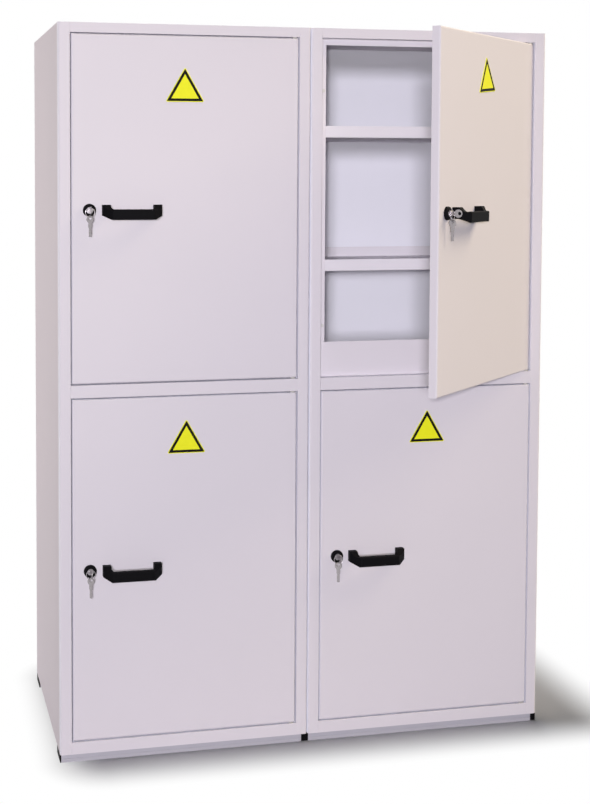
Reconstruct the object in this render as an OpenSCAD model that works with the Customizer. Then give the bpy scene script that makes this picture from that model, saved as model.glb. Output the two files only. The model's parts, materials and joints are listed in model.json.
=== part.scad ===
// Steel safety storage cabinet: two equal columns side by side, each with an upper and a lower
// compartment behind a flush door. The doors turn on hidden pivots at their right edge.
// Millimetres, +Z up, front towards -Y. The origin is on the floor under the middle of the front,
// where the two front base rails are joined.

/* [Columns] */
// Width of one column over its side panels
col_w = 679; // [520:1:900]
// Depth of a column
col_d = 620; // [480:1:800]
// Height of the cabinet above the floor
body_h = 1950; // [1700:1:2300]
// Joint between the two columns
seam = 2; // [1:0.5:8]
// Thickness of the folded sheet steel
sheet = 1.5; // [1:0.1:2]
// Outer radius of a fold in the sheet
fold_r = 2.6; // [2.2:0.1:4]
// Outer radius of the fold along a column's front edges
edge_r = 6; // [3:0.5:10]

/* [Face frame] */
// Face width of a stile
stile_w = 31; // [26:1:45]
// Depth of the stile's leg along the outside of the column
stile_leg = 42; // [34:1:70]
// Face height of the top rail
top_rail_h = 26; // [20:1:50]
// Face height of the rail between the two doors
mid_rail_h = 34; // [30:1:60]
// Face height of the sill under the lower door
sill_h = 32; // [24:1:60]
// Width of the stop flange on each stile
stop_w = 18; // [14:1:30]
// Drop of the stop flange on a rail
stop_drop = 17; // [8:1:25]
// Height of the threshold that keeps spilled liquid in
threshold_h = 95; // [40:1:150]

/* [Base] */
// Height of the base rails
base_h = 21; // [15:1:60]
// Depth of a base rail
base_d = 70; // [50:1:110]
// Wall of a base rail
base_wall = 2; // [1.6:0.1:3]
// Set-back of the base rails from the face of the column
base_inset = 4; // [0:1:30]
// Height of the bead rolled into a base rail's face
bead_h = 2.5; // [1:0.5:5]
// Depth of the bead
bead_d = 1; // [0.4:0.1:1.2]
// Thickness of the cap on the left end of a rail
cap_t = 3; // [2:0.5:8]
// Length by which a rail stops short of the right side of its column
rail_short = 15; // [8:1:30]
// Length of a cap's plug inside the rail
cap_plug = 14; // [8:1:30]

/* [Shelves] */
// Height of the lower shelf's lip above the bottom edge of its opening
shelf_low = 320; // [200:1:360]
// Height of the upper shelf's lip above the bottom edge of its opening
shelf_high = 684; // [560:1:740]
// Height of the folded lip round a shelf
shelf_lip = 32; // [20:1:45]
// Clearance between a shelf and the sides
shelf_gap = 3; // [1:0.5:8]
// Clearance between a shelf and the door stops
shelf_front_gap = 2; // [1:0.5:20]
// Clearance between a shelf and the back
shelf_back_gap = 12; // [1:1:40]
// Leg of the angle strip that carries a shelf
bracket_leg = 20; // [15:1:30]
// Thickness of the angle strip
bracket_t = 2; // [1.5:0.1:3]
// Length of the angle strip
bracket_l = 420; // [250:1:440]

/* [Doors] */
// Thickness of a door
door_t = 22; // [18:0.5:30]
// Outer radius of the folds round a door
door_r = 4; // [2.2:0.1:6]
// Gap round a door
door_gap = 3.5; // [3:0.1:6]
// Gap between a shut door and its stop
stop_gap = 3.5; // [3:0.1:6]
// Depth of the lip round the liner
liner_lip = 8; // [5:0.5:9]
// Angle at which the upper right door stands open
open_angle = 43; // [0:1:110]
// Radius of a rubber buffer
buffer_r = 5; // [3:0.5:6]
// Clearance between a buffer and a shut door
buffer_gap = 0.5; // [0.3:0.1:1]
// Distance of a buffer from the corner of the opening
buffer_in = 140; // [110:1:250]

/* [Pivots] */
// Distance of the pivot from the hinge edge of the door
pivot_in = 9; // [8.5:0.1:12]
// Distance of the pivot from the face of the door
pivot_back = 7; // [6.6:0.1:7.6]
// Radius of a hinge pin
pin_r = 3; // [2:0.1:3.4]
// Reach of a pin into its bush
pin_reach = 12; // [8:1:13]
// Radius of a bush
bush_r = 5; // [4.4:0.1:5.2]
// Length of a bush inside the door
bush_l = 14; // [13:0.5:30]
// Radius of a bush's flange
bush_flange_r = 6.4; // [5.6:0.1:6.5]
// Running clearance between a pin and its bush
pin_play = 0.05; // [0.02:0.01:0.1]
// Clearance between a bush's flange and the frame
thrust_play = 0.3; // [0.2:0.1:1]
// Radius of the collar that holds a pin in the frame
collar_r = 5.2; // [4.4:0.1:5.4]
// Thickness of the collar
collar_t = 3; // [2:0.5:6]

/* [Lock] */
// Distance of the lock from the free edge of the door
lock_in = 46; // [34:1:60]
// Height of the lock above the bottom edge of the door
lock_up = 455; // [400:1:520]
// Radius of the black rosette
rosette_r = 17; // [14:0.5:20]
// Thickness of the rosette
rosette_t = 8; // [5:0.5:12]
// Radius of the rosette's rounded rim
rim_r = 3.5; // [1:0.5:4.5]
// Radius of the lock barrel
barrel_r = 10; // [9:0.5:12]
// Width across the corners of the ring nut, halved
nut_r = 16; // [14:0.5:18]
// Thickness of the ring nut
nut_t = 5; // [3:0.5:6]
// Radius of the turning plug
plug_r = 7.5; // [7:0.1:8]
// Running clearance between the plug and the barrel
plug_play = 0.06; // [0.02:0.01:0.1]
// Radius of the plug's bright face
plug_head_r = 8.5; // [8.2:0.1:12]
// Height of the plug's face above the rosette
plug_proud = 2; // [1:0.1:4]
// Clearance between the plug's face and the rosette
head_play = 0.2; // [0.1:0.1:0.5]
// Thickness of the cam
cam_t = 2.5; // [2:0.1:4]
// Clearance between the cam and the back of the stop flange
cam_gap = 2; // [0.5:0.1:5]
// Overlap of the turned cam behind the stop flange
cam_bite = 14; // [8:1:18]
// Radius of the cam at the plug
cam_r = 11; // [9:0.5:13]
// Radius of the cam's tip
cam_tip_r = 8; // [5:0.5:9]
// Width of the square tang that turns the cam
tang_w = 9; // [6:0.5:10]

/* [Keys] */
// Thickness of a key
key_t = 2; // [1.6:0.1:2.6]
// Width of a key's blade
blade_w = 7; // [5:0.5:8]
// Length of a key's blade
blade_l = 24; // [18:1:30]
// Width of a key's neck
neck_w = 10; // [9:0.5:11]
// Length of a key's neck
neck_l = 11; // [9:1:16]
// Radius of a key's bow
bow_r = 10; // [9:0.5:13]
// Radius of the hole in the bow
bow_hole_r = 4.5; // [4.3:0.1:5]
// Width of the bow's rim beyond the hole
bow_rim = 2; // [1.5:0.1:3]
// Clearance round the blade in the keyway
key_play = 0.15; // [0.05:0.05:0.3]
// Radius of the key ring at the middle of its wire
ring_r = 12; // [11:0.5:14]
// Radius of the ring's wire
wire_r = 0.9; // [0.6:0.1:1]
// Clearance between the ring and the key's neck
ring_play = 0.4; // [0.3:0.1:1]
// Angle between the spare key and the plane across the ring
spare_turn = 56; // [10:1:58]

/* [Handle] */
// Length of the handle
handle_l = 157; // [130:1:220]
// Distance of the handle from the free edge of the door
handle_in = 79; // [78:1:110]
// Stand-off of the handle from the door to its front
handle_out = 42; // [34:1:55]
// Thickness of the handle's bar
bar_t = 14; // [10:0.5:18]
// Height of the handle's bar
bar_h = 28.5; // [18:0.5:34]
// Drop of the bar's middle below the middle of its feet
bar_drop = 11.5; // [4:0.5:16]
// Height of a foot at the door
foot_h = 28.5; // [20:0.5:34]
// Width of a foot
foot_w = 21; // [16:0.5:26]
// Size of the slanted corner between foot and bar
corner_cut = 24; // [19:0.5:28]
// Size of the slanted corner inside the handle
inner_cut = 4.5; // [3:0.5:10]
// Radius along the handle's edges
handle_r = 3; // [1:0.5:4]

/* [Joining bolts] */
// Radius of a joining bolt
bolt_r = 4; // [3:0.5:6]
// Radius of a bolt head or nut over its corners
bolt_head_r = 7.5; // [6.6:0.1:9]
// Thickness of a bolt head and of a nut
bolt_head_t = 5.5; // [4:0.5:8]
// Clearance round a bolt
bolt_play = 0.2; // [0.1:0.05:0.5]
// Distance of the bolts from the front and the back
bolt_in = 90; // [60:1:160]
// Height of the bolts above the bottom edge of an opening
bolt_up = 800; // [760:1:830]

/* [Hidden] */
$fn = 48;
arc_steps = 4;
eps = 0.01;

paint = [0.86, 0.83, 0.86];
black = [0.10, 0.10, 0.11];
bright = [0.78, 0.78, 0.80];
nylon = [0.90, 0.90, 0.88];

face_y = -base_inset - base_d / 2;
rail_l = col_w - cap_t - rail_short;
opening_w = col_w - 2 * stile_w;
opening_h = (body_h - base_h - sill_h - mid_rail_h - top_rail_h) / 2;
stop_y = door_t + stop_gap;
behind_stop = stop_y + sheet;
wall_z = base_h + sheet;
wall_h = body_h - base_h - 2 * sheet;
back_y = col_d - sheet;
inner_fold = fold_r - sheet;
inner_edge = edge_r - sheet;
inner_door = door_r - sheet;

door_w = opening_w - 2 * door_gap;
door_h = opening_h - 2 * door_gap;
pivot_x = door_w - pivot_in;
flange_t = door_gap - thrust_play;
cam_front = max(door_t + nut_t, behind_stop) + cam_gap;
plug_back = cam_front + cam_t;
plug_face = rosette_t + plug_proud;
cam_reach = lock_in - (stop_w - door_gap) + cam_bite;
neck_sweep = norm([neck_w, key_t]) / 2;
ring_drop = ring_r - wire_r - neck_sweep - ring_play;
ring_out = plug_face + neck_l / 2;
bow_hole_up = bow_r - bow_hole_r - bow_rim;
hole_rest = bow_hole_r / 2 - wire_r / 10;
handle_up = lock_up;

COLUMNS = ["left", "right"];
COLUMN_PIECES = ["outer_side", "inner_side", "back", "top", "stiles", "rails", "floors", "shelves"];
DOORS = ["upper_left", "upper_right", "lower_left", "lower_right"];
DOOR_PIECES = ["door_skin", "door_liner", "pivot_bushes", "handle", "lock_case", "lock_plug",
    "lock_cam", "key", "key_ring"];
SHARED_PIECES = ["shelf_brackets", "base_rails", "base_caps", "rail_joiners", "joining_bolts",
    "hinge_pins", "door_buffers"];
NODES = concat(
    [for (c = COLUMNS) for (p = COLUMN_PIECES) str(c, "_", p)],
    SHARED_PIECES,
    [for (d = DOORS) for (p = DOOR_PIECES) str(d, "_", p)]);
node = "all";

function wanted(name) = node == "all" || node == name;

// Left edge of a column, and the bottom edge of an opening by tier: 0 is the lower one
function column_x(c) = c == 0 ? -col_w - seam / 2 : seam / 2;
function opening_z(tier) = base_h + sill_h + tier * (opening_h + mid_rail_h);
function door_column(d) = d % 2;
function door_tier(d) = d < 2 ? 1 : 0;
function door_angle(d) = d == 1 ? open_angle : 0;

// Points of an outline whose corners [x, y, radius] are rounded by arcs
function unit(v) = v / norm(v);
function arc_point(centre, from, to, turn, k) =
    centre + (from * sin((1 - k) * turn) + to * sin(k * turn)) / sin(turn);
function corner(a, p, b, r) =
    r == 0 ? [p] :
    let (u = unit(a - p), v = unit(b - p), half = acos(u * v) / 2)
    let (centre = p + unit(u + v) * r / sin(half))
    let (from = p + u * r / tan(half) - centre, to = p + v * r / tan(half) - centre)
    [for (k = [0 : arc_steps]) arc_point(centre, from, to, 180 - 2 * half, k / arc_steps)];
function flat(q) = [q[0], q[1]];
function rounded(q) =
    let (n = len(q))
    [for (i = [0 : n - 1])
        each corner(flat(q[(i + n - 1) % n]), flat(q[i]), flat(q[(i + 1) % n]), q[i][2])];

// Outline seen from above whose two front corners are rounded
module front_rounded(length, depth, r)
    polygon(rounded([
        [0, 0, r],
        [length, 0, r],
        [length, depth, 0],
        [0, depth, 0]]));

module in_column(c) translate([column_x(c), face_y, 0]) children();

// Door frame of reference: lower left front corner of the shut door, swung to its rest angle
module in_door(d)
    in_column(door_column(d))
        translate([stile_w + door_gap, 0, opening_z(door_tier(d)) + door_gap])
            translate([pivot_x, pivot_back, 0])
                rotate([0, 0, door_angle(d)])
                    translate([-pivot_x, -pivot_back, 0]) children();

// Lock axis as +Z of the children, pointing out of the door
module at_lock() translate([lock_in, 0, lock_up]) rotate([90, 0, 0]) children();

// Outline in (y, z) carried along +X
module along_x(length) rotate([90, 0, 90]) linear_extrude(length) children();

module both_sides() {
    children();
    translate([col_w, 0, 0]) mirror([1, 0, 0]) children();
}

module bolt_places()
    for (tier = [0, 1])
        for (y = [bolt_in, col_d - bolt_in])
            translate([0, y, opening_z(tier) + bolt_up]) rotate([0, 90, 0]) children();

// Side panel on the left of a column, behind the leg of the stile
module side_wall() translate([0, stile_leg, wall_z]) cube([sheet, col_d - stile_leg, wall_h]);

module outer_side(c)
    color(paint) in_column(c)
        translate([c * col_w, 0, 0]) mirror([c, 0, 0]) side_wall();

module inner_side(c)
    color(paint) in_column(c)
        difference() {
            translate([(1 - c) * col_w, 0, 0]) mirror([1 - c, 0, 0]) side_wall();
            bolt_places() cylinder(r = bolt_r + bolt_play, h = 4 * col_w, center = true);
        }

module back(c)
    color(paint) in_column(c)
        translate([sheet, back_y, wall_z]) cube([col_w - 2 * sheet, sheet, wall_h]);

// Plate that closes a column at the top or the bottom
module end_plate() linear_extrude(sheet) front_rounded(col_w, col_d, edge_r);

module top(c) color(paint) in_column(c) translate([0, 0, body_h - sheet]) end_plate();

// Stile folded from one strip: outer leg, face, return along the door and stop flange
module stile()
    translate([0, 0, wall_z])
        linear_extrude(wall_h)
            polygon(rounded([
                [0, stile_leg, 0],
                [0, 0, edge_r],
                [stile_w, 0, inner_fold],
                [stile_w, stop_y, inner_fold],
                [stile_w + stop_w, stop_y, 0],
                [stile_w + stop_w, behind_stop, 0],
                [stile_w - sheet, behind_stop, fold_r],
                [stile_w - sheet, sheet, 0],
                [sheet, sheet, inner_edge],
                [sheet, stile_leg, 0]]));

module stiles(c) color(paint) in_column(c) both_sides() stile();

// Rail folded from one strip and notched at both ends round the stop flanges of the stiles
module rail(z)
    translate([stile_w, 0, z])
        difference() {
            along_x(opening_w) children();
            for (x = [-eps, opening_w - stop_w])
                translate([x, stop_y, -col_w]) cube([stop_w + eps, col_d, 2 * col_w]);
        }

module rail_holes(z)
    translate([stile_w + door_gap + pivot_x, pivot_back, z])
        cylinder(r = pin_r + pin_play, h = 4 * sheet, center = true);

module top_rail()
    difference() {
        rail(body_h - top_rail_h)
            polygon(rounded([
                [0, top_rail_h - sheet, 0],
                [0, 0, inner_fold],
                [stop_y, 0, inner_fold],
                [stop_y, -stop_drop, 0],
                [behind_stop, -stop_drop, 0],
                [behind_stop, sheet, fold_r],
                [sheet, sheet, 0],
                [sheet, top_rail_h - sheet, 0]]));
        rail_holes(body_h - top_rail_h);
    }

module mid_rail()
    difference() {
        rail(opening_z(1) - mid_rail_h)
            polygon(rounded([
                [stop_y, -stop_drop, 0],
                [stop_y, 0, inner_fold],
                [0, 0, inner_fold],
                [0, mid_rail_h, inner_fold],
                [stop_y, mid_rail_h, inner_fold],
                [stop_y, mid_rail_h + threshold_h, 0],
                [behind_stop, mid_rail_h + threshold_h, 0],
                [behind_stop, mid_rail_h - sheet, fold_r],
                [sheet, mid_rail_h - sheet, 0],
                [sheet, sheet, 0],
                [behind_stop, sheet, fold_r],
                [behind_stop, -stop_drop, 0]]));
        rail_holes(opening_z(1) - mid_rail_h);
        rail_holes(opening_z(1));
    }

module sill()
    difference() {
        rail(base_h)
            polygon(rounded([
                [0, sheet, 0],
                [0, sill_h, inner_fold],
                [stop_y, sill_h, inner_fold],
                [stop_y, sill_h + threshold_h, 0],
                [behind_stop, sill_h + threshold_h, 0],
                [behind_stop, sill_h - sheet, fold_r],
                [sheet, sill_h - sheet, 0],
                [sheet, sheet, 0]]));
        rail_holes(opening_z(0));
    }

module rails(c)
    color(paint) in_column(c) {
        top_rail();
        mid_rail();
        sill();
    }

// Bottom plate of the column and the floors that close the two sumps
module floors(c)
    color(paint) in_column(c) {
        translate([0, 0, base_h]) end_plate();
        for (tier = [0, 1])
            translate([sheet, behind_stop, opening_z(tier)])
                cube([col_w - 2 * sheet, back_y - behind_stop, sheet]);
    }

// Tray shelf folded from one sheet: its lip stands up on all four edges and holds a spill
module shelf() {
    w = col_w - 2 * (sheet + shelf_gap);
    front = behind_stop + shelf_front_gap;
    rear = back_y - shelf_back_gap;
    translate([sheet + shelf_gap, 0, -shelf_lip]) {
        along_x(w)
            polygon(rounded([
                [front, shelf_lip, 0],
                [front, 0, fold_r],
                [rear, 0, fold_r],
                [rear, shelf_lip, 0],
                [rear - sheet, shelf_lip, 0],
                [rear - sheet, sheet, inner_fold],
                [front + sheet, sheet, inner_fold],
                [front + sheet, shelf_lip, 0]]));
        for (x = [0, w - sheet])
            translate([x, front + sheet / 2, sheet / 2])
                cube([sheet, rear - front - sheet, shelf_lip - sheet / 2]);
    }
}

module shelf_places()
    for (tier = [0, 1])
        for (up = [shelf_low, shelf_high])
            translate([0, 0, opening_z(tier) + up]) children();

module shelves(c) color(paint) in_column(c) shelf_places() shelf();

// Angle strip against the side, under the edge of a shelf
module bracket()
    translate([sheet, (col_d + bracket_l) / 2, -shelf_lip])
        rotate([90, 0, 0])
            linear_extrude(bracket_l)
                polygon([
                    [0, 0],
                    [bracket_leg, 0],
                    [bracket_leg, -bracket_t],
                    [bracket_t, -bracket_t],
                    [bracket_t, -bracket_leg],
                    [0, -bracket_leg]]);

module shelf_brackets()
    color(paint)
        for (c = [0, 1])
            in_column(c) shelf_places() both_sides() bracket();

// Front left corner of a column's front base rail; the rear rail mirrors the front one
module base_places(c)
    in_column(c) {
        translate([0, base_inset, 0]) children();
        translate([0, col_d - base_inset, 0]) mirror([0, 1, 0]) children();
    }

module base_rail()
    translate([cap_t, 0, 0])
        along_x(rail_l)
            difference() {
                square([base_d, base_h]);
                translate([base_wall, base_wall])
                    square([base_d - 2 * base_wall, base_h - 2 * base_wall]);
                translate([-eps, (base_h - bead_h) / 2]) square([bead_d + eps, bead_h]);
            }

module base_rails() color(paint) for (c = [0, 1]) base_places(c) base_rail();

// Cap of the rail's outline from x, with plugs that fill the rails before and behind it
module rail_cap(x, length, before, behind) {
    translate([x, 0, 0]) along_x(length) square([base_d, base_h]);
    translate([x - before * cap_plug, base_wall, base_wall])
        cube([length + (before + behind) * cap_plug, base_d - 2 * base_wall, base_h - 2 * base_wall]);
}

// Thin cap on the far left end, long cap on the far right end
module base_caps()
    color(black) {
        base_places(0) rail_cap(0, cap_t, 0, 1);
        base_places(1) rail_cap(cap_t + rail_l, rail_short, 1, 0);
    }

// Plug that joins the rails of the two columns and fills the space between their ends
module rail_joiners()
    color(black) base_places(0) rail_cap(cap_t + rail_l, rail_short + seam + cap_t, 1, 1);

// Bolt through both inner sides, with its head on the left and a nut on the right
module joining_bolts()
    color(bright)
        translate([0, face_y, 0]) {
            grip = seam + 2 * sheet;
            bolt_places() {
                translate([0, 0, -grip / 2 - bolt_head_t])
                    cylinder(r = bolt_head_r, h = bolt_head_t, $fn = 6);
                translate([0, 0, -grip / 2 - eps]) cylinder(r = bolt_r, h = grip + 2 * bolt_head_t);
                translate([0, 0, grip / 2])
                    difference() {
                        cylinder(r = bolt_head_r, h = bolt_head_t, $fn = 6);
                        translate([0, 0, -eps])
                            cylinder(r = bolt_r + pin_play, h = bolt_head_t + 2 * eps);
                    }
            }
        }

// Hinge pin standing up from the bottom edge of an opening, with its collar under the sheet
module hinge_pin() {
    translate([0, 0, -sheet - collar_t]) cylinder(r = collar_r, h = collar_t);
    translate([0, 0, -sheet - collar_t])
        cylinder(r = pin_r, h = collar_t + sheet + door_gap + pin_reach);
}

module hinge_pins()
    color(bright)
        for (c = [0, 1])
            for (tier = [0, 1])
                in_column(c)
                    translate([stile_w + door_gap + pivot_x, pivot_back, opening_z(tier)]) {
                        hinge_pin();
                        translate([0, 0, opening_h]) mirror([0, 0, 1]) hinge_pin();
                    }

module door_buffers()
    color(nylon)
        for (c = [0, 1])
            for (tier = [0, 1])
                for (up = [buffer_in, opening_h - buffer_in])
                    in_column(c)
                        translate([stile_w + stop_w / 2 + inner_fold, stop_y, opening_z(tier) + up])
                            rotate([90, 0, 0])
                                cylinder(r = buffer_r, h = stop_gap - buffer_gap);

// Block whose four front edges are rounded: its outlines from above and from the side cut each other
module pan(width, height, r)
    intersection() {
        linear_extrude(height) front_rounded(width, door_t, r);
        along_x(width) mirror([1, -1]) front_rounded(height, door_t, r);
    }

module lock_hole()
    at_lock() cylinder(r = barrel_r + key_play, h = 4 * door_t, center = true);

module bush_places()
    translate([pivot_x, pivot_back, 0]) {
        mirror([0, 0, 1]) children();
        translate([0, 0, door_h]) children();
    }

// Outer pan of a door, folded back along its four edges
module door_skin(d)
    color(paint) in_door(d)
        difference() {
            pan(door_w, door_h, door_r);
            translate([sheet, sheet, sheet])
                pan(door_w - 2 * sheet, door_h - 2 * sheet, inner_door);
            lock_hole();
            bush_places() cylinder(r = bush_r, h = 4 * sheet, center = true);
        }

// Inner pan that closes the back of the door, its lip inside the edges of the skin
module door_liner(d)
    color(paint) in_door(d)
        difference() {
            translate([sheet, door_t - liner_lip, sheet])
                cube([door_w - 2 * sheet, liner_lip, door_h - 2 * sheet]);
            translate([2 * sheet, door_t - liner_lip - eps, 2 * sheet])
                cube([door_w - 4 * sheet, liner_lip - sheet + eps, door_h - 4 * sheet]);
            lock_hole();
        }

// Flanged bush pressed into the edge of the door; the lower flange carries the door
module pivot_bushes(d)
    color(nylon) in_door(d)
        bush_places()
            difference() {
                union() {
                    translate([0, 0, -bush_l]) cylinder(r = bush_r, h = bush_l + flange_t);
                    cylinder(r = bush_flange_r, h = flange_t);
                }
                cylinder(r = pin_r + pin_play, h = 4 * bush_l, center = true);
            }

// Bridge handle whose bar hangs lower than its feet: its outlines from above and from the side
// cut each other
module handle(d)
    color(black) in_door(d)
        translate([handle_in, 0, handle_up])
            intersection() {
                bar_back = handle_out - bar_t;
                foot_end = handle_out - corner_cut;
                translate([0, 0, -2 * bar_h])
                    linear_extrude(4 * bar_h)
                        mirror([0, 1])
                            polygon(rounded([
                                [0, 0, 0],
                                [0, foot_end, handle_r],
                                [corner_cut, handle_out, handle_r],
                                [handle_l - corner_cut, handle_out, handle_r],
                                [handle_l, foot_end, handle_r],
                                [handle_l, 0, 0],
                                [handle_l - foot_w, 0, 0],
                                [handle_l - foot_w, bar_back - inner_cut, handle_r],
                                [handle_l - foot_w - inner_cut, bar_back, handle_r],
                                [foot_w + inner_cut, bar_back, handle_r],
                                [foot_w, bar_back - inner_cut, handle_r],
                                [foot_w, 0, 0]]));
                along_x(handle_l)
                    mirror([1, 0])
                        polygon(rounded([
                            [0, -foot_h / 2, 0],
                            [foot_end, -foot_h / 2, handle_r],
                            [handle_out, -bar_h / 2 - bar_drop, handle_r],
                            [handle_out, bar_h / 2 - bar_drop, handle_r],
                            [bar_back, bar_h / 2 - bar_drop, handle_r],
                            [foot_end, foot_h / 2, handle_r],
                            [0, foot_h / 2, 0]]));
            }

// Rosette and barrel turned in one piece, held by a hexagonal ring nut behind the liner
module lock_case(d)
    color(black) in_door(d) at_lock() {
        bore_r = plug_r + plug_play;
        rotate_extrude()
            polygon(rounded([
                [bore_r, -door_t - nut_t, 0],
                [barrel_r, -door_t - nut_t, 0],
                [barrel_r, 0, 0],
                [rosette_r, 0, 0],
                [rosette_r, rosette_t, rim_r],
                [bore_r, rosette_t, 0]]));
        translate([0, 0, -door_t - nut_t])
            difference() {
                cylinder(r = nut_r, h = nut_t, $fn = 6);
                translate([0, 0, -eps]) cylinder(r = barrel_r + pin_play, h = nut_t + 2 * eps);
            }
    }

// Plug with its keyway at the front and a square tang for the cam at the back
module lock_plug(d)
    color(bright) in_door(d) at_lock()
        difference() {
            union() {
                translate([0, 0, -cam_front]) cylinder(r = plug_r, h = cam_front + plug_face);
                translate([0, 0, rosette_t + head_play])
                    cylinder(r = plug_head_r, h = plug_proud - head_play);
                translate([-tang_w / 2, -tang_w / 2, -plug_back]) cube([tang_w, tang_w, plug_back]);
            }
            translate([-key_t / 2 - key_play, -blade_w / 2 - key_play, plug_face - blade_l - key_play])
                cube([key_t + 2 * key_play, blade_w + 2 * key_play, 2 * blade_l]);
        }

// Cam hanging down at rest; a quarter turn brings it behind the stop flange
module lock_cam(d)
    color(bright) in_door(d) at_lock()
        translate([0, 0, -plug_back])
            linear_extrude(cam_t)
                difference() {
                    union() {
                        circle(r = cam_r);
                        translate([-cam_tip_r, cam_tip_r - cam_reach])
                            square([2 * cam_tip_r, cam_reach - cam_tip_r]);
                        translate([0, cam_tip_r - cam_reach]) circle(r = cam_tip_r);
                    }
                    square([tang_w, tang_w], center = true);
                }

// Flat key from the shoulder of its neck: blade towards -Y, bow towards +Y
module key_plate(tip)
    linear_extrude(key_t, center = true)
        difference() {
            union() {
                translate([-blade_w / 2, -tip]) square([blade_w, tip + eps]);
                translate([-neck_w / 2, 0]) square([neck_w, neck_l + bow_r]);
                translate([0, neck_l + bow_r]) circle(r = bow_r);
            }
            translate([0, neck_l + bow_r + bow_hole_up]) circle(r = bow_hole_r);
        }

module key(d)
    color(bright) in_door(d) at_lock()
        translate([0, 0, plug_face]) rotate([90, 0, 90]) key_plate(blade_l);

// Wire ring hung on the neck of the key, with the spare key on its lowest point
module key_ring(d)
    color(bright) in_door(d) at_lock()
        translate([0, -ring_drop, ring_out]) {
            rotate_extrude() translate([ring_r, 0]) circle(r = wire_r);
            translate([0, -ring_r - hole_rest, 0])
                rotate([0, spare_turn - 90, 0])
                    translate([0, -neck_l - bow_r - bow_hole_up, 0]) key_plate(blade_l);
        }

for (c = [0, 1]) {
    if (wanted(str(COLUMNS[c], "_outer_side"))) outer_side(c);
    if (wanted(str(COLUMNS[c], "_inner_side"))) inner_side(c);
    if (wanted(str(COLUMNS[c], "_back"))) back(c);
    if (wanted(str(COLUMNS[c], "_top"))) top(c);
    if (wanted(str(COLUMNS[c], "_stiles"))) stiles(c);
    if (wanted(str(COLUMNS[c], "_rails"))) rails(c);
    if (wanted(str(COLUMNS[c], "_floors"))) floors(c);
    if (wanted(str(COLUMNS[c], "_shelves"))) shelves(c);
}
if (wanted("shelf_brackets")) shelf_brackets();
if (wanted("base_rails")) base_rails();
if (wanted("base_caps")) base_caps();
if (wanted("rail_joiners")) rail_joiners();
if (wanted("joining_bolts")) joining_bolts();
if (wanted("hinge_pins")) hinge_pins();
if (wanted("door_buffers")) door_buffers();
for (d = [0 : 3]) {
    if (wanted(str(DOORS[d], "_door_skin"))) door_skin(d);
    if (wanted(str(DOORS[d], "_door_liner"))) door_liner(d);
    if (wanted(str(DOORS[d], "_pivot_bushes"))) pivot_bushes(d);
    if (wanted(str(DOORS[d], "_handle"))) handle(d);
    if (wanted(str(DOORS[d], "_lock_case"))) lock_case(d);
    if (wanted(str(DOORS[d], "_lock_plug"))) lock_plug(d);
    if (wanted(str(DOORS[d], "_lock_cam"))) lock_cam(d);
    if (wanted(str(DOORS[d], "_key"))) key(d);
    if (wanted(str(DOORS[d], "_key_ring"))) key_ring(d);
}
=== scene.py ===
# %% [markdown]
# # A steel safety cabinet, dressed for the studio
# The imported model holds every rigid piece of the cabinet: folded frame, doors, locks, keys, shelves.
# This lesson loads it, gives each piece the finish of the real one, adds the small trim that a CAD
# model leaves out, and sets up a camera and a plain studio.

# %% Load the frame
import json

import bmesh
import bpy
import numpy as np
from mathutils import Euler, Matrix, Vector


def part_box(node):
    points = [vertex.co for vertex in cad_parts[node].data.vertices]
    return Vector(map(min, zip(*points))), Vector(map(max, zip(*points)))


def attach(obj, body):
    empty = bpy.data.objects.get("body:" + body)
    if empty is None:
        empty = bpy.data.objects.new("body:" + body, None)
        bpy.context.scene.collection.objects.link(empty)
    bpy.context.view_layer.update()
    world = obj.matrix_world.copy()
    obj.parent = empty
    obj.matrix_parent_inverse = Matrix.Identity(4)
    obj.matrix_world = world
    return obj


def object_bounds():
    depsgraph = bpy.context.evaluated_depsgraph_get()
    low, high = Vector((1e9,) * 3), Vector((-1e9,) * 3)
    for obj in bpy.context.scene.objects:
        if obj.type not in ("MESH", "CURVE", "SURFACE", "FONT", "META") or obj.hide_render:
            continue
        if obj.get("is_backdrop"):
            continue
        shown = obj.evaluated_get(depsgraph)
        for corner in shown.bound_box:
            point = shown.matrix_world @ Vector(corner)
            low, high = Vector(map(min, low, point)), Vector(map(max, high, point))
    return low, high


MM = 0.001
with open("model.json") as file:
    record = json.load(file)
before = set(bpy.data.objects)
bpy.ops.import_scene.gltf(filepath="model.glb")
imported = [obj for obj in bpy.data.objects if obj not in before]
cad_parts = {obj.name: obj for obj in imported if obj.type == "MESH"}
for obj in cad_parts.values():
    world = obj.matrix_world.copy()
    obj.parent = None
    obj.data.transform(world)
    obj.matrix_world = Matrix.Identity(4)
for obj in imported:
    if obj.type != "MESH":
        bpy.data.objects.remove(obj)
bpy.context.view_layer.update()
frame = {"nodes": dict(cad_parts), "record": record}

# %% [markdown]
# ## Colours and nodes
# Paint makers and photographs speak in sRGB, but shaders mix light in linear values. One function
# turns a hex colour into linear numbers, and one small function adds a shader node, sets it and links
# it. Every material below is written with these two.

# %% Helpers for materials
def linear(hex_colour):
    """sRGB hex to linear RGBA: c / 12.92 below 0.04045, else ((c + 0.055) / 1.055) to the power 2.4."""
    c = np.array([int(hex_colour[i : i + 2], 16) for i in (1, 3, 5)]) / 255.0
    rgb = np.where(c <= 0.04045, c / 12.92, ((c + 0.055) / 1.055) ** 2.4)
    return (*rgb.tolist(), 1.0)


def add(tree, kind, properties=None, **sockets):
    """Add one node. A socket's value is either a number or colour, or another node's output to link."""
    node = tree.nodes.new(kind)
    for name, value in (properties or {}).items():
        setattr(node, name, value)
    for name, value in sockets.items():
        numbered = name[0] == "i" and name[1:].isdigit()
        socket = node.inputs[int(name[1:]) if numbered else name.replace("_", " ")]
        if isinstance(value, bpy.types.NodeSocket):
            tree.links.new(value, socket)
        else:
            socket.default_value = value
    return node


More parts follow.
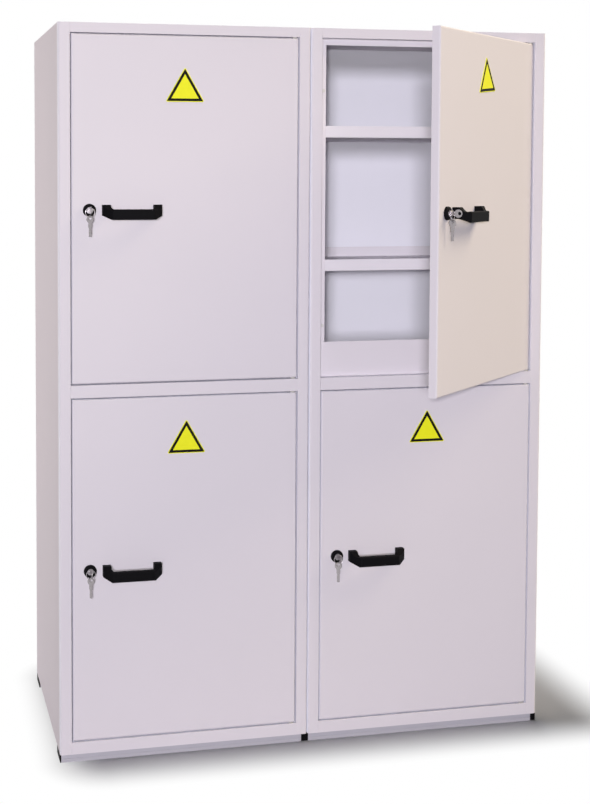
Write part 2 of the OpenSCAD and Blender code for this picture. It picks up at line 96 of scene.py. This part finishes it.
def new_material(name):
    """An empty node material with its output, and the piece's own coordinates in metres."""
    material = bpy.data.materials.new(name)
    material.use_nodes = True
    tree = material.node_tree
    tree.nodes.clear()
    output = tree.nodes.new("ShaderNodeOutputMaterial")
    place = tree.nodes.new("ShaderNodeTexCoord").outputs["Object"]
    return material, tree, output, place


def per(size_mm):
    """Texture scale that makes one feature of a pattern about size_mm wide."""
    return 1.0 / (size_mm * MM)


MIX_COLOUR = {"data_type": "RGBA"}  # a colour mix takes its share at input 0, its colours at 6 and 7
MIXED = 2  # and gives the colour at output 2

# %% [markdown]
# ## Powder-coated sheet steel
# The whole body is folded sheet with a pale grey powder coat, sprayed dry and baked. The coat levels
# out with a slight orange peel, a few millimetres from bump to bump, and it is satin, so highlights
# are broad. A baked coat also differs very slightly in shade from panel to panel. Two noises give the
# peel and the slow waviness of thin sheet, and a third one shifts the shade by about two percent. In a
# range of depth behind a face the colour turns whiter: that is painted light, which lightens the shade
# in the door gaps and, together with a lighter inner coat, inside the back panels.

# %% Powder coat
PEEL_MM = 5.0  # real orange peel is 2 to 3 mm; drawn coarser so that it shows at this distance
PEEL_HIGH_MM, PEEL_STRENGTH = 0.04, 0.6
WAVE_MM, WAVE_HIGH_MM, WAVE_STRENGTH = 170.0, 0.6, 0.5
SHADE_MM = 420.0
COAT_ROUGHNESS, COAT_SPREAD = 0.6, 0.05
# painted light: the whiter colour mixed in where the door gaps and the back panels' inner faces would be in
# shade
PAINTED_LIGHT_WHITE, PAINTED_LIGHT_EDGE_MM = "#F0EFF7", 0.6


def powder_coat(name, pale, deep, painted_light_zone=None):
    """Satin powder coat: base colour between two close shades, orange peel and slow waves in the bump.
    The optional last argument is a point on a face, the direction inwards and two depths in mm: between them
    a whiter colour is painted in as light."""
    material, tree, output, place = new_material(name)
    shade = add(tree, "ShaderNodeTexNoise", Vector=place, Scale=per(SHADE_MM), Detail=2.0)
    share = shade.outputs["Fac"]
    colour = add(tree, "ShaderNodeMix", MIX_COLOUR, i0=share, i6=linear(pale), i7=linear(deep)).outputs[MIXED]
    # painted light: between the two depths the colour turns whiter to lighten the shade there
    if painted_light_zone:
        point, inward, first, last = painted_light_zone
        middle = float(np.dot(point, inward)) + (first + last) / 2 * MM
        half = (last - first) / 2
        depth = add(tree, "ShaderNodeVectorMath", {"operation": "DOT_PRODUCT"}, i0=place, i1=inward)
        beyond = add(tree, "ShaderNodeMath", {"operation": "SUBTRACT"}, i0=depth.outputs["Value"], i1=middle)
        beyond = add(tree, "ShaderNodeMath", {"operation": "ABSOLUTE"}, i0=beyond.outputs["Value"])
        outside = add(
            tree,
            "ShaderNodeMapRange",
            Value=beyond.outputs["Value"],
            From_Min=(half - PAINTED_LIGHT_EDGE_MM) * MM,
            From_Max=half * MM,
        )
        share = outside.outputs["Result"]
        colour = add(tree, "ShaderNodeMix", MIX_COLOUR, i0=share, i6=linear(PAINTED_LIGHT_WHITE), i7=colour).outputs[MIXED]
    grain = add(tree, "ShaderNodeTexNoise", Vector=place, Scale=per(PEEL_MM), Detail=1.0)
    gloss = add(
        tree,
        "ShaderNodeMapRange",
        Value=grain.outputs["Fac"],
        To_Min=COAT_ROUGHNESS - COAT_SPREAD,
        To_Max=COAT_ROUGHNESS + COAT_SPREAD,
    )
    wave = add(tree, "ShaderNodeTexNoise", Vector=place, Scale=per(WAVE_MM), Detail=0.0)
    sheet = add(
        tree,
        "ShaderNodeBump",
        Height=wave.outputs["Fac"],
        Distance=WAVE_HIGH_MM * MM,
        Strength=WAVE_STRENGTH,
    )
    skin = add(
        tree,
        "ShaderNodeBump",
        Height=grain.outputs["Fac"],
        Distance=PEEL_HIGH_MM * MM,
        Strength=PEEL_STRENGTH,
        Normal=sheet.outputs["Normal"],
    )
    shader = add(
        tree,
        "ShaderNodeBsdfPrincipled",
        Base_Color=colour,
        Roughness=gloss.outputs["Result"],
        Normal=skin.outputs["Normal"],
        IOR=1.5,
    )
    tree.links.new(shader.outputs["BSDF"], output.inputs["Surface"])
    return material


BODY_SHADES = ("#DED7DD", "#D9D3D9")
body_paint = powder_coat("powder_coated_steel", *BODY_SHADES)
shelf_paint = powder_coat("powder_coated_shelf", "#E4DFE5", "#E0DBE1")
base_paint = powder_coat("powder_coated_base_rail", "#B9B6BE", "#B1AEB6")
print("paints:", body_paint.name, shelf_paint.name, base_paint.name)

# %% [markdown]
# ## Moulded plastics and rubber
# Handles and lock rosettes are glass-filled black nylon: the mould is spark-eroded, so the surface is
# a fine matt grain that turns grey in a highlight. The pivot bushes are the same nylon undyed, drawn in a
# mid grey. The buffers are soft pale rubber, nearly without gloss. They all share one recipe: a grain in
# the bump and a slightly uneven roughness.

# %% Plastics
GRAIN_SPREAD, GRAIN_STRENGTH = 0.08, 0.5


def moulded(name, pale, deep, roughness, grain_mm, depth_mm, shine=0.5):
    """Moulded plastic: fine grain of grain_mm in colour, roughness and bump; shine is its reflection."""
    material, tree, output, place = new_material(name)
    grain = add(tree, "ShaderNodeTexNoise", Vector=place, Scale=per(grain_mm), Detail=3.0)
    share = grain.outputs["Fac"]
    colour = add(tree, "ShaderNodeMix", MIX_COLOUR, i0=share, i6=linear(deep), i7=linear(pale)).outputs[MIXED]
    gloss = add(
        tree,
        "ShaderNodeMapRange",
        Value=share,
        To_Min=roughness - GRAIN_SPREAD,
        To_Max=roughness + GRAIN_SPREAD,
    )
    bump = add(tree, "ShaderNodeBump", Height=share, Distance=depth_mm * MM, Strength=GRAIN_STRENGTH)
    shader = add(
        tree,
        "ShaderNodeBsdfPrincipled",
        Base_Color=colour,
        Roughness=gloss.outputs["Result"],
        Normal=bump.outputs["Normal"],
        Specular_IOR_Level=shine,
    )
    tree.links.new(shader.outputs["BSDF"], output.inputs["Surface"])
    return material


black_nylon = moulded("spark_grained_black_nylon", "#0F0E11", "#070608", 0.6, 1.6, 0.06, shine=0.05)
undyed_nylon = moulded("undyed_nylon", "#C2BEB8", "#B3AFA9", 0.45, 3.0, 0.03)
pale_rubber = moulded("buffer_rubber", "#D6D2D0", "#CAC6C4", 0.82, 1.2, 0.08)
print("plastics:", black_nylon.name, undyed_nylon.name, pale_rubber.name)

# %% [markdown]
# ## Plated metal
# Keys, key rings and lock plugs are nickel plated and a little scratched from use; bolts, pins and
# cams are bright zinc, which dries in soft cloudy patches. Both are true metals, so their colour sits
# in the reflection and only the roughness varies.

# %% Metals
DULLEST, BRIGHTEST = 1.5, 0.5  # times the roughness: in the darkest clouds and in the palest


def plated(name, pale, deep, roughness, cloud_mm, stretch):
    """Plated metal: clouds of cloud_mm, stretched along Z for scratches, in colour and roughness."""
    material, tree, output, place = new_material(name)
    turned = add(tree, "ShaderNodeMapping", Vector=place, Scale=(1.0, 1.0, 1.0 / stretch))
    cloud = add(tree, "ShaderNodeTexNoise", Vector=turned.outputs["Vector"], Scale=per(cloud_mm), Detail=4.0)
    share = cloud.outputs["Fac"]
    colour = add(tree, "ShaderNodeMix", MIX_COLOUR, i0=share, i6=linear(deep), i7=linear(pale)).outputs[MIXED]
    gloss = add(
        tree,
        "ShaderNodeMapRange",
        Value=share,
        To_Min=roughness * DULLEST,
        To_Max=roughness * BRIGHTEST,
    )
    shader = add(
        tree,
        "ShaderNodeBsdfPrincipled",
        Base_Color=colour,
        Roughness=gloss.outputs["Result"],
        Metallic=1.0,
    )
    tree.links.new(shader.outputs["BSDF"], output.inputs["Surface"])
    return material


nickel = plated("nickel_plated_brass", "#B3AEB1", "#857F82", 0.28, 2.0, 6.0)
worn_nickel = plated("worn_nickel_plug", "#9C989B", "#6F6B6E", 0.42, 2.0, 1.0)
zinc = plated("bright_zinc_steel", "#C4C8CC", "#A4A9AE", 0.34, 5.0, 1.0)
print("metals:", nickel.name, worn_nickel.name, zinc.name)

# %% [markdown]
# ## Finishes onto the CAD pieces
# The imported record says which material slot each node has, so one table from slot to finish dresses
# all of them at once. Shelves are a little whiter than the outside and lock plugs more worn than keys, so
# these go by the last word of their names. No CAD mesh is changed: only its material is exchanged.

# %% Dress the nodes
FINISH = {
    "painted_steel": body_paint,
    "base_paint": base_paint,
    "black_nylon": black_nylon,
    "natural_nylon": undyed_nylon,
    "chrome": nickel,
    "zinc_steel": zinc,
    "rubber": pale_rubber,
}
SPECIAL = {"shelves": shelf_paint, "plug": worn_nickel}
for part in frame["record"]["subparts"]:
    mesh = frame["nodes"][part["node"]].data
    mesh.materials.clear()
    last_word = part["node"].split("_")[-1]
    mesh.materials.append(SPECIAL.get(last_word, FINISH[part["material_slot"]]))

# %% [markdown]
# ## Where a door is
# The upper right door stands open, so its trim can't be placed by plain X and Z. The record's lock
# joint gives all that is needed: its point lies on the door's face at the lock, and its axis points
# straight into the door. From these a door's own right, inward and up directions follow.

# %% Door frames of reference
DOORS = ("upper_left", "upper_right", "lower_left", "lower_right")
UP = np.array([0.0, 0.0, 1.0])
joints = {joint["name"]: joint for joint in frame["record"]["behaviour"]["joints"]}


def on_door(door, points):
    """Door points (right, inward, up) in mm, counted from the lock on the door's face, to the frame."""
    lock = joints[door + "_lock_turn"]
    inward = np.array(lock["axis"], float)
    right = np.cross(inward, UP)
    return np.array(lock["pos_m"]) + points @ np.array([right, inward, UP]) * MM


print("doors:", *DOORS)

# %% [markdown]
# ## Painted light in the gaps
# The walls of the narrow gaps round the doors, the rear of the doors and the inner face of the back panels
# get a whiter colour: painted light, so that a gap looked into is a soft grey line and not a black one.
# On the back panels it is partly a lighter inner coat and partly painted light for the deep compartment.
# Each door has its own face and direction, and the frame shares those of a closed door. The upper right
# door is the one that stands open, so its edges keep the colour of its face.

# %% Coats of doors, frame and back panels
IN_GAP = (1.5, 24.0)  # mm behind the doors' face
IN_BACK = (0.5, 30.0)  # mm before the rear face of the back panels


def coat(name, nodes, point, inward, depths):
    """Give the nodes a body coat with a whiter painted light between two depths behind a point."""
    paint = powder_coat(name, *BODY_SHADES, painted_light_zone=(point, inward, *depths))
    for node in nodes:
        frame["nodes"][node].data.materials[0] = paint


KEPT_SHUT = ("upper_left", "lower_left", "lower_right")
for door in KEPT_SHUT:
    lock = joints[door + "_lock_turn"]
    pans = [door + "_door_skin", door + "_door_liner"]
    coat(door + "_door_coat", pans, lock["pos_m"], lock["axis"], IN_GAP)
lock = joints["upper_left_lock_turn"]
strips = [side + strip for side in ("left", "right") for strip in ("_stiles", "_rails")]
coat("face_frame_coat", strips, lock["pos_m"], lock["axis"], IN_GAP)
coat("back_panel_coat", ["left_back", "right_back"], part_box("left_back")[1], (0.0, -1.0, 0.0), IN_BACK)
# painted light in the gaps: three shut doors, the face frame and the back panels
print("coats with painted light in the gaps:", len(KEPT_SHUT) + 2)

# %% [markdown]
# ## Meshes from grids
# Every new piece below is one or more grids of points, worked out as whole arrays. One function joins the
# points into faces, makes a Blender object of them, and says which body it rides on and which material it
# has.

# %% Grid to mesh
SAME_POINT = 1e-7  # m


def mesh_piece(name, points, material, body):
    """Mesh of one or more grids, an array (copies, rows, columns, 3): quads join each point with the
    next column and the next row, columns closing on themselves; a row shrunk to a point is a pole."""
    copies, rows, columns, _ = points.shape
    index = np.arange(copies * rows * columns).reshape(copies, rows, columns)
    after = np.roll(index, -1, axis=2)
    quads = np.stack([index[:, :-1], after[:, :-1], after[:, 1:], index[:, 1:]], axis=-1)
    mesh = bpy.data.meshes.new(name)
    mesh.from_pydata(points.reshape(-1, 3), [], quads.reshape(-1, 4))
    piece = bpy.data.objects.new(name, mesh)
    bpy.context.scene.collection.objects.link(piece)
    work = bmesh.new()
    work.from_mesh(mesh)
    bmesh.ops.remove_doubles(work, verts=work.verts, dist=SAME_POINT)
    bmesh.ops.recalc_face_normals(work, faces=work.faces)
    work.to_mesh(mesh)
    work.free()
    mesh.materials.append(material)
    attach(piece, body)
    return piece


# %% [markdown]
# ## Blank triangular plates
# Each door carries a small triangular plate of enamelled aluminium: yellow, with a printed black rim just
# inside its edge; here it stays blank. The plates are stuck on by hand, so their places differ a little:
# the table gives the middle of the lower edge in mm to the right of the lock and above it, and a tilt in
# degrees. A rounded triangle is a smaller sharp one grown outwards by the corner radius, so other growths
# give parallel outlines, and a negative growth gives a sharp smaller triangle. Carrying such outlines
# through a list of (growth, height) pairs makes the plate and its rim as two closed grids.

# %% Outlines of a plate
SIDE, CORNER, MARGIN, RIM = 105.0, 3.0, 2.0, 7.0  # mm; the rim keeps a margin from the edge
PLATE_T, PLATE_BEVEL, GLUE_T, INK_T = 1.2, 0.3, 0.05, 0.1  # the ink reaches INK_T out and in
PLATE_AT = {
    "upper_left": (254.0, 284.0, 0.0),
    "upper_right": (240.0, 309.0, 5.0),
    "lower_left": (259.0, 304.0, 0.0),
    "lower_right": (259.0, 306.0, 0.0),
}
TURNS = 96


def triangle_outline(growth):
    """Core triangle grown by growth: at angle t the nearest corner plus growth along t. For a negative
    growth the corners move in by twice as much, which moves the sides in by just that growth."""
    third = 2 * np.pi / 3
    t = np.pi / 6 + (np.arange(TURNS) + 0.5) / TURNS * 3 * third
    pointing = np.pi / 2 + third * np.floor((t - np.pi / 6) / third)
    reach = (SIDE - 2 * np.sqrt(3) * CORNER) / np.sqrt(3) + 2 * min(growth, 0.0)
    core = np.stack([np.cos(pointing), np.sin(pointing)], -1) * reach
    return core + max(growth, 0.0) * np.stack([np.cos(t), np.sin(t)], -1)


def plate_grid(door, profile):
    """Outlines of the triangle through (growth, height) pairs; None as growth is the plate's middle."""
    right, up, tilt = PLATE_AT[door]
    cos, sin = np.cos(np.radians(tilt)), np.sin(np.radians(tilt))
    low = -triangle_outline(CORNER)[:, 1].min()
    rows = []
    for growth, height in profile:
        outline = np.zeros((TURNS, 2)) if growth is None else triangle_outline(growth)
        outline = outline @ np.array([[cos, sin], [-sin, cos]])
        rows.append(np.stack([right + outline[:, 0], np.full(TURNS, -height), up + low + outline[:, 1]], -1))
    return np.array(rows)[None]


# %% Profiles of plate and rim
rim_out, rim_in = CORNER - MARGIN, CORNER - MARGIN - RIM
ink_low, ink_high = PLATE_T - INK_T, PLATE_T + INK_T
RIM_PROFILE = [
    (rim_in, ink_low),
    (rim_in, ink_high),
    (rim_out, ink_high),
    (rim_out, ink_low),
    (rim_in, ink_low),
]
FIELD_PROFILE = [
    (None, GLUE_T),
    (CORNER, GLUE_T),
    (CORNER, PLATE_T - PLATE_BEVEL),
    (CORNER - PLATE_BEVEL, PLATE_T),
    (None, PLATE_T),
]
print("rim from %.1f to %.1f mm, plate %.1f mm" % (rim_in, rim_out, CORNER))

# %% [markdown]
# ## Enamel
# Stove enamel is sprayed and baked like the powder coat but flows out smoother. What shows is a satin
# gloss with slow ripples of a centimetre or so and a little dust in it. The black rim reflects least.

# %% Plates in enamel
FILM_MM, FILM_HIGH_MM, FILM_STRENGTH = 14.0, 0.1, 0.4
FILM_SMOOTH, FILM_DUSTY = 0.48, 0.6  # roughness


def enamel(name, pale, deep, shine):
    """Stove enamel on thin aluminium: satin, with a trace of waviness and dust in the gloss."""
    material, tree, output, place = new_material(name)
    film = add(tree, "ShaderNodeTexNoise", Vector=place, Scale=per(FILM_MM), Detail=2.0)
    share = film.outputs["Fac"]
    colour = add(tree, "ShaderNodeMix", MIX_COLOUR, i0=share, i6=linear(deep), i7=linear(pale)).outputs[MIXED]
    gloss = add(tree, "ShaderNodeMapRange", Value=share, To_Min=FILM_SMOOTH, To_Max=FILM_DUSTY)
    bump = add(tree, "ShaderNodeBump", Height=share, Distance=FILM_HIGH_MM * MM, Strength=FILM_STRENGTH)
    shader = add(
        tree,
        "ShaderNodeBsdfPrincipled",
        Base_Color=colour,
        Roughness=gloss.outputs["Result"],
        Normal=bump.outputs["Normal"],
        IOR=1.52,
        Specular_IOR_Level=shine,
    )
    tree.links.new(shader.outputs["BSDF"], output.inputs["Surface"])
    return material


yellow_enamel = enamel("yellow_enamel", "#F3F321", "#EAEA16", 0.25)
black_enamel = enamel("black_enamel", "#0D0D0C", "#080807", 0.08)
for door in DOORS:
    rim = on_door(door, plate_grid(door, RIM_PROFILE))
    mesh_piece(door + "_plate_rim", rim, black_enamel, door + "_door")
    field = on_door(door, plate_grid(door, FIELD_PROFILE))
    mesh_piece(door + "_plate_field", field, yellow_enamel, door + "_door")
print("plates:", 2 * len(DOORS))

# %% [markdown]
# ## Screws and rivets
# Each handle is held from inside by two pan-head screws, and the back panels and shelf strips are
# blind-riveted. A head is a profile of radius and height turned round an axis: one grid, copied to all
# its places by adding an array of centres.

# %% Heads
HEAD_TURNS, DOME_ROWS = 20, 6
ASKEW = (0.3, 0.5, 0.81)  # a direction that no head points in


def heads(centres, axis, radius, height):
    """Domed heads at the centres (mm) along an axis: radius r times sqrt(1 - u^2), height from u."""
    u = np.linspace(0.0, 1.0, DOME_ROWS)
    ring = np.concatenate([[0.0, radius], radius * np.sqrt(1 - u[1:-1] ** 2), [0.0]])
    rise = np.concatenate([[0.0, 0.0], height * u[1:-1], [height]])
    t = np.arange(HEAD_TURNS) / HEAD_TURNS * 2 * np.pi
    axis = np.array(axis, float)
    side = np.cross(axis, ASKEW)
    side /= np.linalg.norm(side)
    third = np.cross(axis, side)
    spokes = np.cos(t)[:, None] * side + np.sin(t)[:, None] * third
    head = ring[:, None, None] * spokes[None] + rise[:, None, None] * axis
    return np.asarray(centres, float)[:, None, None, :] + head[None]


# %% Screws of the handles
FOOT_NEAR, FOOT_FAR, DOOR_T = 43.5, 179.5, 22.0  # mm from the lock to the handle's feet; door thickness
SCREW_R, SCREW_H = 5.5, 2.6
for door in DOORS:
    spots = [(FOOT_NEAR, DOOR_T, 0.0), (FOOT_FAR, DOOR_T, 0.0)]
    screw = on_door(door, heads(spots, (0, 1, 0), SCREW_R, SCREW_H))
    mesh_piece(door + "_handle_screws", screw, zinc, door + "_door")
print("screws:", len(spots) * len(DOORS))

# %% Rivets of the back panels
RIVET_R, RIVET_H = 3.6, 1.3
RIVET_IN, RIVET_END = 12.0, 45.0  # mm from an edge, and from the ends of an upright row
RIVETS_UP, RIVETS_ACROSS = 9, 5
for side in ("left", "right"):
    low, high = (np.array(c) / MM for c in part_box(side + "_back"))
    z = np.linspace(low[2] + RIVET_END, high[2] - RIVET_END, RIVETS_UP)
    x = np.linspace(low[0] + RIVET_IN, high[0] - RIVET_IN, RIVETS_ACROSS)
    upright = [(edge, high[1], h) for edge in (x[0], x[-1]) for h in z]
    level = [(p, high[1], h) for p in x[1:-1] for h in (low[2] + RIVET_IN, high[2] - RIVET_IN)]
    rivets = heads(upright + level, (0, 1, 0), RIVET_R, RIVET_H) * MM
    mesh_piece(side + "_back_rivets", rivets, body_paint, "cabinet")
print("rivets per back:", len(upright) + len(level))

# %% Rivets of the shelf strips
SHELF_LIP, STRIP_IN, RIVET_DOWN = 32.0, 1.0, 12.0  # mm; a strip's inner face lies just beyond the shelf
STRIP_RIVET_R, STRIP_RIVET_H, RIVET_STEP = 3.4, 1.2, 150.0
lock_height = [joints[tier + "_left_lock_turn"]["pos_m"][2] / MM for tier in ("lower", "upper")]
tier = lock_height[1] - lock_height[0]
for side in ("left", "right"):
    low, high = (np.array(c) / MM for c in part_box(side + "_shelves"))
    spacing = high[2] - low[2] - tier - SHELF_LIP
    z = low[2] - RIVET_DOWN + np.array([0.0, spacing, tier, tier + spacing])
    y = (low[1] + high[1]) / 2 + np.array([-1.0, 0.0, 1.0]) * RIVET_STEP
    at_left = [(low[0] - STRIP_IN, depth, h) for depth in y for h in z]
    at_right = [(high[0] + STRIP_IN, depth, h) for depth in y for h in z]
    leftmost = heads(at_left, (1, 0, 0), STRIP_RIVET_R, STRIP_RIVET_H)
    rightmost = heads(at_right, (-1, 0, 0), STRIP_RIVET_R, STRIP_RIVET_H)
    rivets = np.concatenate([leftmost, rightmost]) * MM
    mesh_piece(side + "_strip_rivets", rivets, body_paint, "cabinet")
print("rivets per column:", len(at_left) + len(at_right))

# %% [markdown]
# ## Studio
# A plain pale floor and a white surround. Close to the cabinet the floor keeps its soft shadow; farther
# out it turns into pure white for the camera, so that no horizon shows. How far a point of the floor is
# from the footprint follows from its distance beyond the two half widths, cut off at zero. The world is
# white to the camera and in reflections but gives only a small part of the light.

# %% Light that the eye sees
def seen_directly(tree):
    """1 for rays from the camera, mirror-like rays and rays through glass, 0 for diffuse light."""
    path = add(tree, "ShaderNodeLightPath")
    value = path.outputs["Is Camera Ray"]
    for ray in ("Is Glossy Ray", "Is Transmission Ray"):
        largest = add(tree, "ShaderNodeMath", {"operation": "MAXIMUM"}, i0=value, i1=path.outputs[ray])
        value = largest.outputs["Value"]
    return value


# %% Floor
FLOOR_HALF = 14.0  # m
WHITE_NEAR, WHITE_TO = 0.06, 0.2  # share of plain white at the footprint, and where it is all white (m)
SHADE_MIDDLE = np.array([0.12, 0.0, 0.0])  # the shaded patch lies a little to the right (m)
edge = np.linspace(-FLOOR_HALF, FLOOR_HALF, 3)
corners = np.stack(np.meshgrid(edge, edge, [0.0], indexing="ij"), -1).reshape(-1, 3)
cells = [(0, 3, 4, 1), (1, 4, 5, 2), (3, 6, 7, 4), (4, 7, 8, 5)]
floor_mesh = bpy.data.meshes.new("studio_floor")
floor_mesh.from_pydata(corners, [], cells)
floor = bpy.data.objects.new("studio_floor", floor_mesh)
bpy.context.scene.collection.objects.link(floor)
floor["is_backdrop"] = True
print("floor:", len(cells), "faces")

# %% Floor paint
floor_paint, tree, output, place = new_material("studio_floor")
low, high = (np.array(c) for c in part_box("base_rails"))
away = place
for operation, value in (
    ("SUBTRACT", (low + high) / 2 + SHADE_MIDDLE),
    ("ABSOLUTE", np.zeros(3)),
    ("SUBTRACT", (high - low) / 2),
    ("MAXIMUM", np.zeros(3)),
):
    step = add(tree, "ShaderNodeVectorMath", {"operation": operation}, i0=away, i1=value.tolist())
    away = step.outputs["Vector"]
away = add(tree, "ShaderNodeVectorMath", {"operation": "LENGTH"}, i0=away)
fade = add(
    tree,
    "ShaderNodeMapRange",
    {"interpolation_type": "SMOOTHSTEP"},
    Value=away.outputs["Value"],
    From_Max=WHITE_TO,
    To_Min=WHITE_NEAR,
    To_Max=1.0,
)
seen, fade = seen_directly(tree), fade.outputs["Result"]
share = add(tree, "ShaderNodeMath", {"operation": "MULTIPLY"}, i0=seen, i1=fade).outputs["Value"]
matt = add(tree, "ShaderNodeBsdfDiffuse", Color=linear("#DADBDF")).outputs["BSDF"]
white = add(tree, "ShaderNodeEmission", Color=(1, 1, 1, 1), Strength=1.0).outputs["Emission"]
both = add(tree, "ShaderNodeMixShader", i0=share, i1=matt, i2=white)
tree.links.new(both.outputs["Shader"], output.inputs["Surface"])
floor_mesh.materials.append(floor_paint)
print("all white from", WHITE_TO, "m")

# %% World
AMBIENT = 0.03
world = bpy.data.worlds.new("studio_world")
bpy.context.scene.world = world
world.use_nodes = True
tree = world.node_tree
tree.nodes.clear()
soft = add(tree, "ShaderNodeBackground", Color=linear("#FFFCFA"), Strength=AMBIENT).outputs["Background"]
plain = add(tree, "ShaderNodeBackground", Color=(1, 1, 1, 1), Strength=1.0).outputs["Background"]
mixed = add(tree, "ShaderNodeMixShader", i0=seen_directly(tree), i1=soft, i2=plain)
out = tree.nodes.new("ShaderNodeOutputWorld")
tree.links.new(mixed.outputs["Shader"], out.inputs["Surface"])
print("light of the world:", AMBIENT)

# %% [markdown]
# ## Lamps
# A small lamp beside the lens lights everything that the camera sees and draws thin lines of shadow
# beside every edge. A second lamp far behind it reaches deep into the open compartment, because its light
# hardly weakens over the depth of the cabinet. A warm lamp on the right lights the open door, one on
# the left the side panel, and one high behind the cabinet its top and back. The first three skip the
# floor, so that the soft shadow in front of the cabinet stays.

# %% Lamps
def lamp(name, place_m, target_m, size_m, watts, colour):
    """A square soft lamp at place_m that looks at target_m."""
    data = bpy.data.lights.new(name, "AREA")
    data.size, data.energy, data.color = size_m, watts, linear(colour)[:3]
    obj = bpy.data.objects.new(name, data)
    obj.location = place_m
    obj.rotation_euler = (Vector(target_m) - Vector(place_m)).to_track_quat("-Z", "Y").to_euler()
    bpy.context.scene.collection.objects.link(obj)
    return obj


MIDDLE = (0.0, 0.27, 1.0)
near = lamp("camera_lamp", (-1.14, -3.62, 1.63), MIDDLE, 0.1, 54.0, "#FFFEFF")
far = lamp("far_front_lamp", (-5.2, -15.0, 2.7), MIDDLE, 1.2, 1250.0, "#F7F4FF")
warm = lamp("right_warm_lamp", (8.4, -0.8, 8.6), (0.45, -0.3, 1.4), 6.4, 1300.0, "#FFF0CE")
lamp("left_rear_lamp", (-3.6, 2.6, 1.5), MIDDLE, 2.2, 66.0, "#FFF2EC")
lamp("top_rear_lamp", (0.6, 4.0, 3.2), MIDDLE, 2.0, 80.0, "#FFFFFF")

# %% Lamps that leave the floor to the others
skipped = bpy.data.collections.new("skipped_by_front_lamps")
skipped.objects.link(floor)
skipped.collection_objects[0].light_linking.link_state = "EXCLUDE"
for skipping in (near, far, warm):
    skipping.light_linking.receiver_collection = skipped
print("lamps:", len(bpy.data.lights))

# %% [markdown]
# ## Camera
# The camera stands a little left of the cabinet at eye height. It looks almost level, so the upright
# edges stay parallel, and the picture is framed by shifting the sensor, as with a shift lens. All
# numbers are read as pixels of the 590 by 804 frame and turned into Blender's units.

# %% Camera
FRAME_W, FRAME_H = 590, 804
FOCAL_PX = 1376.0
SHIFT_PX = (-95.0, -160.0)
EYE = (-1.087, -3.597, 1.574)  # m
YAW, PITCH, ROLL = np.radians([12.4, -3.07, -0.11])
SENSOR_MM, SEEN_TO_M = 36.0, 100.0
camera_data = bpy.data.cameras.new("camera")
camera_data.sensor_width = SENSOR_MM
camera_data.lens = FOCAL_PX / FRAME_H * camera_data.sensor_width
camera_data.shift_x = -SHIFT_PX[0] / FRAME_H
camera_data.shift_y = SHIFT_PX[1] / FRAME_H
camera_data.clip_end = SEEN_TO_M
camera = bpy.data.objects.new("camera", camera_data)
camera.location = EYE
camera.rotation_euler = Euler((np.pi / 2 + PITCH, ROLL, -YAW), "XYZ")
bpy.context.scene.collection.objects.link(camera)
bpy.context.scene.camera = camera
bpy.context.scene.view_settings.view_transform = "Standard"
print("lens %.1f mm, shift %.3f %.3f" % (camera_data.lens, camera_data.shift_x, camera_data.shift_y))

# %% [markdown]
# ## Finish
# At the end the box round everything drawn is measured; the rivet heads stand out at the back.

# %% Measure the box and finish
low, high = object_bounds()
